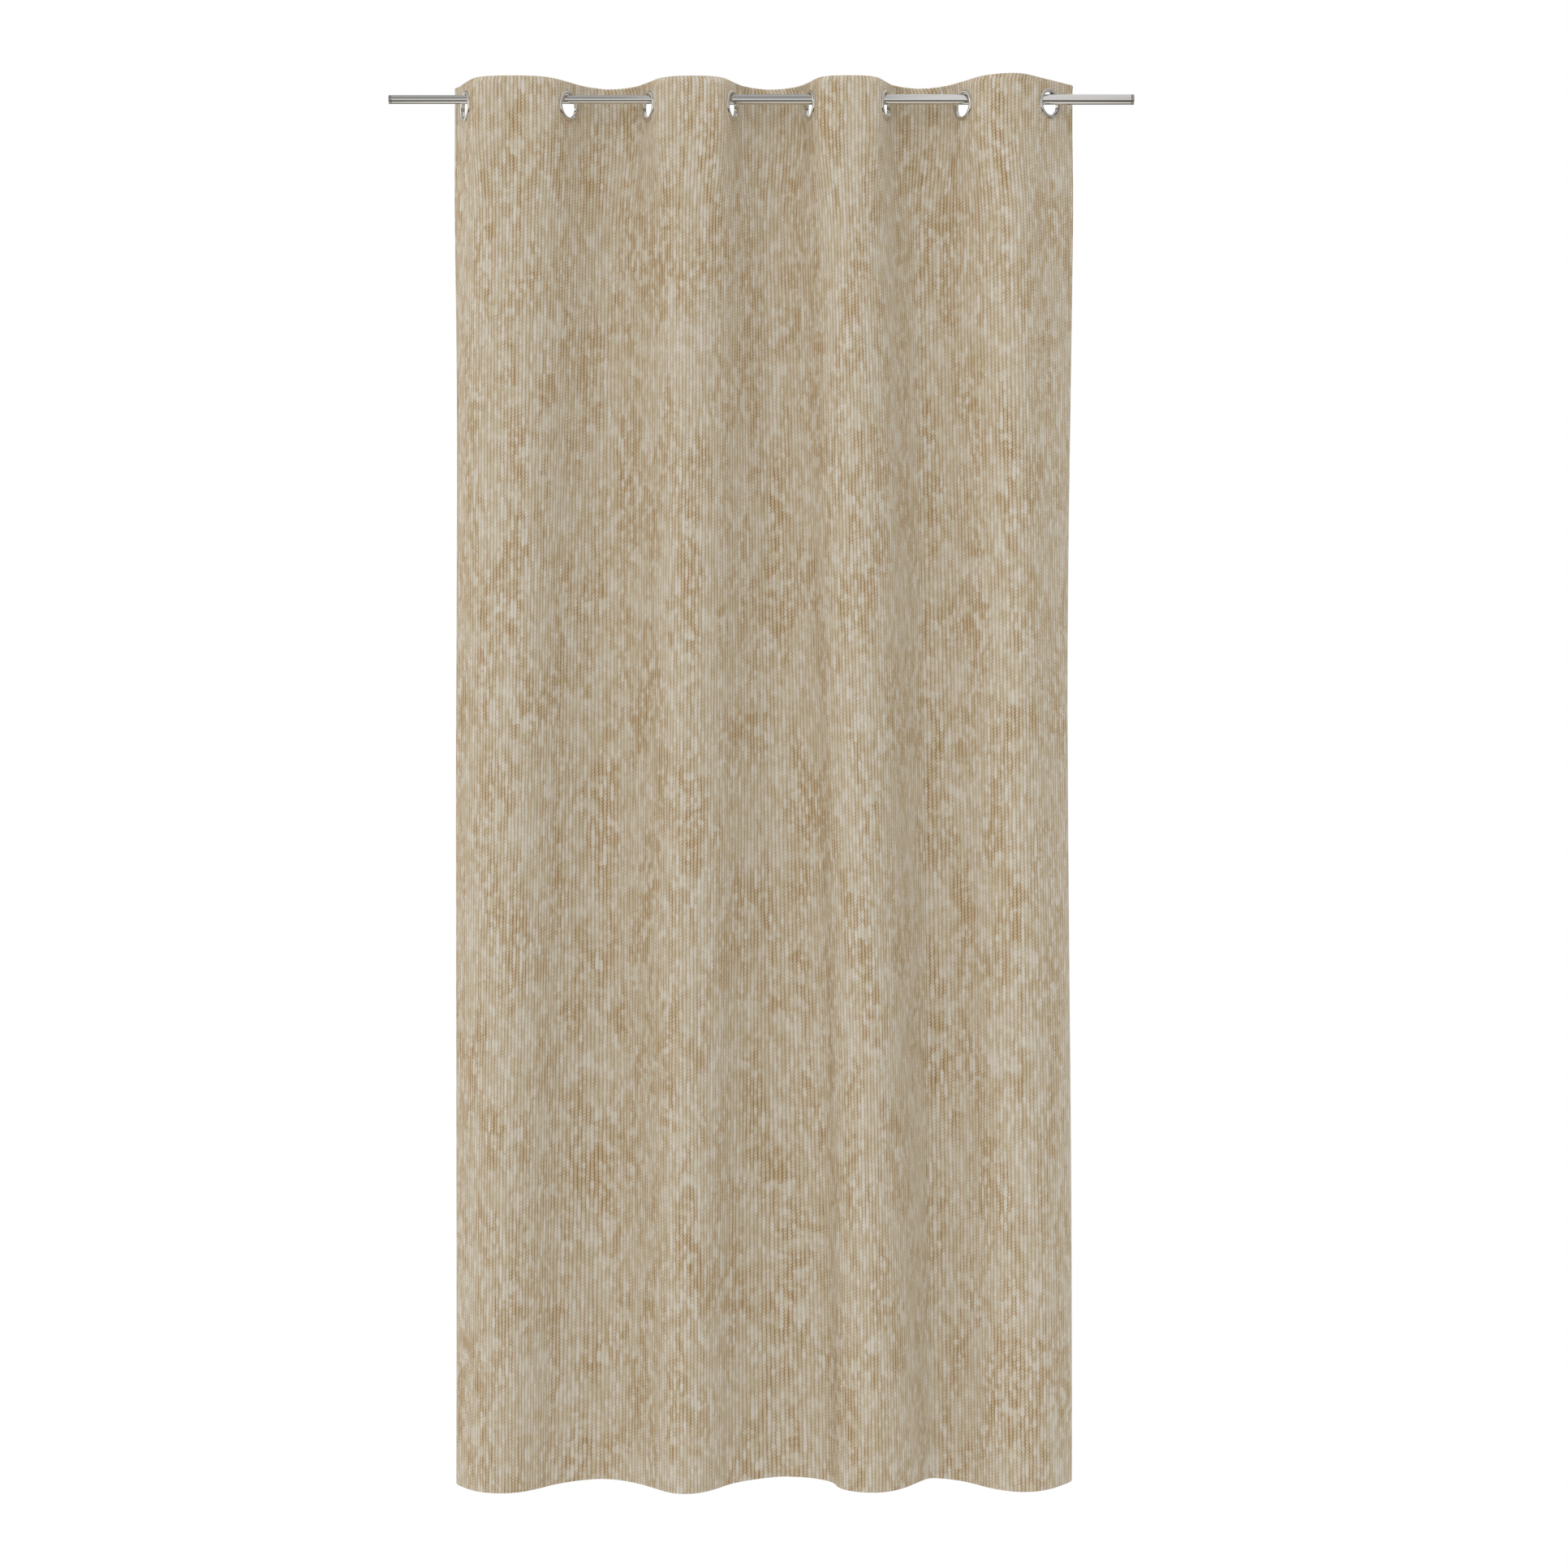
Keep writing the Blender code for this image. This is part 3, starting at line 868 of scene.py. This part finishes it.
def tape_mesh(drape, first, last):
    """The stiffener's middle surface, just behind the cloth, with the same holes."""
    columns = max(2, round((last - first) / TAPE_COLUMN))
    rows = [
        np.linspace(TAPE_START, RING_ROWS_START, 4)[:-1],
        np.linspace(RING_ROWS_START, RING_ROWS_END, 25)[:-1],
        np.linspace(RING_ROWS_END, TAPE_END, 6),
    ]
    across = np.linspace(first, last, columns + 1)[None, :]
    across, down = np.broadcast_arrays(across, np.concatenate(rows)[:, None])
    gone = np.zeros(across.shape, bool)
    for place in drape.eyelets:
        across, down, inside = clear_hole(across, down, place)
        gone |= inside
    points = drape.place(across, down) + drape.normal(across, down) * TAPE_MIDDLE
    return grid_mesh(points, open_quads(gone), across, down)


def object_of(data, name):
    obj = bpy.data.objects.new(name, data)
    bpy.context.scene.collection.objects.link(obj)
    return obj


def finish_cloth(mesh, name, thickness, material):
    obj = object_of(mesh, name)
    add_modifier(obj, "SOLIDIFY", thickness=thickness, offset=0, use_even_offset=False)
    return settle_piece(obj, name, material, CLOTH_SMOOTH)


def stitch_shape():
    """One stitch along +X: a slim capsule of unit half length and unit radius."""
    sides, rings = STITCH_SIDES, STITCH_RINGS
    points, faces = [(-1.0, 0.0, 0.0)], []
    for ring in range(1, rings):
        along = -math.cos(math.pi * ring / rings)
        radius = math.sin(math.pi * ring / rings) ** 0.6
        for n in range(sides):
            turn = 2 * math.pi * n / sides
            points.append((along, radius * math.cos(turn), radius * math.sin(turn)))
    points.append((1.0, 0.0, 0.0))
    last = len(points) - 1
    for n in range(sides):
        m = (n + 1) % sides
        faces.append((0, 1 + m, 1 + n))
        faces.append((last, last - sides + n, last - sides + m))
        for ring in range(rings - 2):
            low, high = 1 + ring * sides, 1 + (ring + 1) * sides
            faces.append((low + n, low + m, high + m, high + n))
    return np.array(points), faces


def clear_of_side_hems(drape, first, last):
    inner_first = max(first, SIDE_HEM + TAPE_SIDE_GAP)
    return inner_first, min(last, drape.width - SIDE_HEM - TAPE_SIDE_GAP)


def stitch_lines(drape, first, last):
    """(across, down, distance behind the cloth's middle, runs down) for each stitch on the back."""
    hem_top = CLOTH_HEIGHT - BOTTOM_HEM
    half = CLOTH_THICKNESS / 2
    rows = (
        (HEADER_HEIGHT - TAPE_SEAM_UP, -TAPE_MIDDLE + TAPE_THICKNESS / 2),
        (TOP_TURN - TOP_SEAM_IN, 2 * TOP_TURN_R + half),
        (hem_top + HEM_SEAM_IN, LAYER + half),
    )
    inner_first, inner_last = clear_of_side_hems(drape, first, last)
    stitches = []
    for across in np.arange(inner_first + STITCH_STEP / 2, inner_last, STITCH_STEP):
        stitches += [(across, down, behind, False) for down, behind in rows]
    if first == 0 or last == drape.width:
        side = SIDE_HEM - SIDE_SEAM_IN
        across = side if first == 0 else drape.width - side
        for down in np.arange(SIDE_SEAM_START, hem_top - SIDE_SEAM_GAP, STITCH_STEP):
            stitches.append((across, down, LAYER + half, True))
    return stitches


def stitch_mesh(drape, first, last):
    """The rows of stitches that show behind the cloth, as separate short beads of thread."""
    shape, faces = stitch_shape()
    across, down, behind, runs_down = np.array(stitch_lines(drape, first, last), float).T
    facing = drape.normal(across, down)
    step = 0.0006
    ahead = drape.place(across + step * (1 - runs_down), down + step * runs_down)
    ahead = ahead - drape.place(across - step * (1 - runs_down), down - step * runs_down)
    ahead /= np.linalg.norm(ahead, axis=1, keepdims=True)
    third = np.cross(facing, ahead)
    centres = drape.place(across, down) - facing * (behind + STITCH_R * STITCH_SUNK)[:, None]
    points = (
        centres[:, None, :]
        + ahead[:, None, :] * (shape[None, :, :1] * STITCH_LENGTH / 2)
        + facing[:, None, :] * (shape[None, :, 1:2] * STITCH_R)
        + third[:, None, :] * (shape[None, :, 2:] * STITCH_R * STITCH_WIDENED)
    )
    starts = range(0, len(centres) * len(shape), len(shape))
    every = [tuple(start + corner for corner in face) for start in starts for face in faces]
    mesh = bpy.data.meshes.new("stitches")
    mesh.from_pydata(points.reshape(-1, 3).tolist(), [], every)
    mesh.update()
    return mesh


def attach(piece, strip, nodes):
    """The first and last strips, the flaps, ride with the end folds; the others stay where they are
    made, on no body.
    """
    if strip == 0 or strip == EYELETS:
        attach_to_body(piece, "fold_1" if strip == 0 else f"fold_{EYELETS}")
    else:
        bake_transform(piece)
    if nodes:
        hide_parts(*nodes)


def add_curtain(fabric, tape, thread):
    drape = Drape()
    edges = [0.0, *drape.eyelets, drape.width]
    for strip in range(EYELETS + 1):
        first, last = edges[strip], edges[strip + 1]
        cloth = cloth_mesh(drape, first, last)
        cloth = finish_cloth(cloth, f"cloth_{strip}", CLOTH_THICKNESS, fabric)
        inner_first, inner_last = clear_of_side_hems(drape, first, last)
        band = tape_mesh(drape, inner_first, inner_last)
        band = finish_cloth(band, f"header_band_{strip}", TAPE_THICKNESS, tape)
        nodes, band_nodes = [], []
        if strip > 0:
            nodes = [f"fabric_header_{strip}", f"fabric_drop_{strip}"]
            band_nodes = [f"header_tape_{strip}"]
        attach(cloth, strip, nodes)
        attach(band, strip, band_nodes)
        seam = object_of(stitch_mesh(drape, first, last), f"stitches_{strip}")
        settle_piece(seam, seam.name, thread, STITCH_SMOOTH)
        attach(seam, strip, [])


# Studio


def add_floor(material):
    bpy.ops.mesh.primitive_cube_add(size=1, location=FLOOR_PLACE, scale=FLOOR_SIZE)
    floor = bpy.context.active_object
    bpy.ops.object.transform_apply(location=True, scale=True)
    add_modifier(floor, "BEVEL", width=0.02, segments=4)
    settle_piece(floor, "floor", material)


def add_light(name, place, size, power, colour):
    """A round lamp aimed at the curtain, which the metal doesn't mirror."""
    light = bpy.data.lights.new(name, "AREA")
    light.shape = "DISK"
    light.size = size
    light.energy = power
    light.color = colour
    lamp = object_of(light, name)
    lamp.location = place
    lamp.visible_glossy = False
    direction = np.array(LIGHT_AIM) - np.array(place)
    lamp.rotation_euler = (
        math.acos(-direction[2] / np.linalg.norm(direction)),
        0,
        math.atan2(-direction[0], direction[1]),
    )


def add_world():
    """A white studio. The metal sees it pale, with a dim strip low down and a fainter one above."""
    world = bpy.data.worlds.new("white_studio")
    bpy.context.scene.world = world
    world.use_nodes = True
    tree = world.node_tree
    tree.nodes.clear()
    direction = add_node(tree, "ShaderNodeTexCoord").outputs["Generated"]
    sideways, _, up = split(tree, direction)

    # What the metal mirrors. The upper strip is on the left only.
    from_low = calc(tree, "ABSOLUTE", calc(tree, "SUBTRACT", up, LOW_STRIP_UP))
    from_high = calc(tree, "ABSOLUTE", calc(tree, "SUBTRACT", up, HIGH_STRIP_UP))
    low_strip = ramp(tree, from_low, 0.13, 0.27, 1.0, 0.0)
    high_strip = ramp(tree, from_high, 0.05, 0.15, 1.0, 0.0)
    high_strip = times(tree, high_strip, ramp(tree, sideways, 0.0, -0.05))
    sky = mix(tree, ramp(tree, sideways, -0.06, 0.10), rgb("#adaeb0"), rgb("#dcdddf"))
    pale = mix(tree, ramp(tree, up, -0.4, 0.2), rgb("#e6e3de"), sky)
    right_side = ramp(tree, sideways, 0.25, 0.85, 0.0, 0.50)
    pale = mix(tree, right_side, pale, rgb("#5d5956"))
    left_side = ramp(tree, sideways, -0.55, -0.85)
    pale = mix(tree, left_side, pale, rgb("#ffffff"))
    pale = mix(tree, times(tree, high_strip, 0.85), pale, rgb("#34312f"))
    mirrored = mix(tree, low_strip, pale, rgb("#2b2826"))

    # What lights the cloth: brighter from above and from the left. The camera sees plain white.
    lit = mix(tree, ramp(tree, up, -0.7, 0.7), rgb("#dad7d0"), rgb("#ffffff"))
    lit = mix(tree, ramp(tree, sideways, -0.8, 0.8, 0.0, 0.36), lit, rgb("#8d8a85"))
    path = add_node(tree, "ShaderNodeLightPath").outputs
    colour = mix(tree, path["Is Glossy Ray"], lit, mirrored)
    colour = mix(tree, path["Is Camera Ray"], colour, rgb("#ffffff"))
    strength = ramp(tree, path["Is Camera Ray"], 0.0, 1.0, AMBIENT, 1.0)
    inputs = {"Color": colour, "Strength": strength}
    background = add_node(tree, "ShaderNodeBackground", {}, inputs)
    add_node(tree, "ShaderNodeOutputWorld", {}, {"Surface": background.outputs[0]})


def add_camera():
    camera = bpy.data.cameras.new("camera")
    camera.lens = CAMERA_LENS
    camera.sensor_width = 36
    camera.clip_end = 50
    obj = object_of(camera, "camera")
    obj.location = CAMERA_PLACE
    obj.rotation_euler = (math.pi / 2, 0, 0)
    bpy.context.scene.camera = obj


def main():
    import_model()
    add_rod(steel_material(), plug_material())
    add_eyelets(nickel_material())
    add_curtain(chenille_material(), tape_material(), thread_material())
    add_floor(floor_material())
    add_world()
    add_light("key", (-3.2, -3.6, 1.6), size=3.0, power=13, colour=rgb("#fffaf2"))
    add_light("fill", (3.2, -4.2, 0.2), size=2.6, power=8, colour=rgb("#f4f7ff"))
    add_camera()
    bpy.context.scene.view_settings.view_transform = "Standard"
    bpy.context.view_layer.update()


main()
